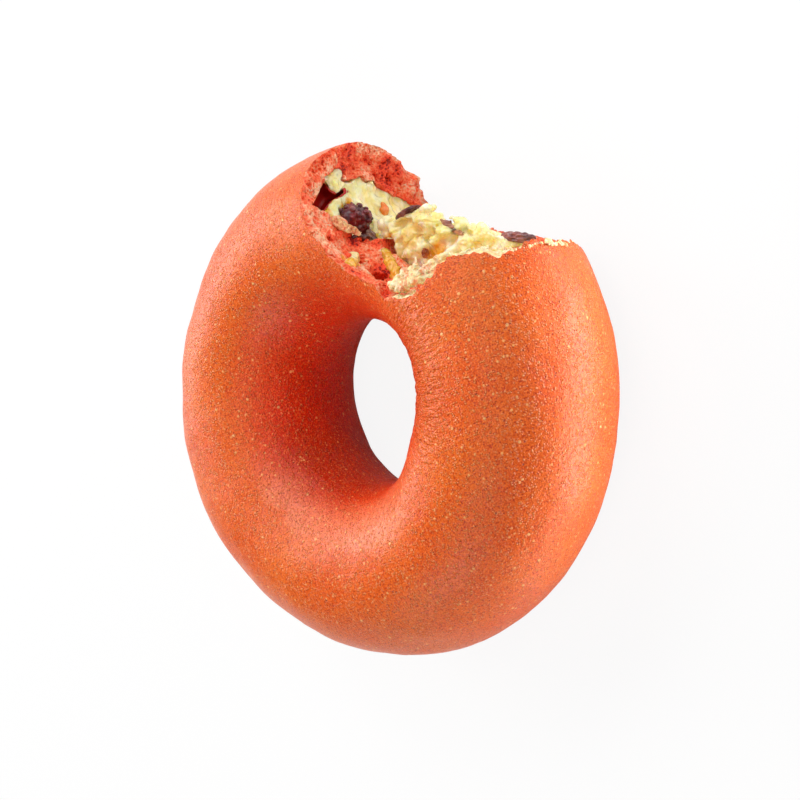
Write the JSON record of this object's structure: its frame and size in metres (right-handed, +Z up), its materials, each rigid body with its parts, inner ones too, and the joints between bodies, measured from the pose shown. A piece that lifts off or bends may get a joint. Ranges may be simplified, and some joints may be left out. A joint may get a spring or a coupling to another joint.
{
  "type": "stuffed bagel",
  "caption": "Round filled bagel lying flat, with one bite out of the rim that shows red crumb, a custard-like filling and dried berries.",
  "frame": {"origin": "middle of the ring's bounding box, on the surface that the bagel lies on", "axes": "+Z up through the hole, and the bite is at the rim between +X and -Y"},
  "size_m": [0.1006, 0.1, 0.0394],
  "materials": {
    "bread": "soft satin orange-red crust with pale pin blisters, open coral-red crumb in the bite",
    "filling": "moist glossy pale yellow custard, lumpy where it is torn",
    "dried_berry": "wrinkled glossy dark purple-red skin"
  },
  "bodies": {
    "root": {"bread": "bread", "filling": "filling", "berry_whole": "dried_berry", "berry_split": "dried_berry", "berry_sunk": "dried_berry", "berry_end": "dried_berry", "berry_scrap": "dried_berry"}
  },
  "joints": []
}
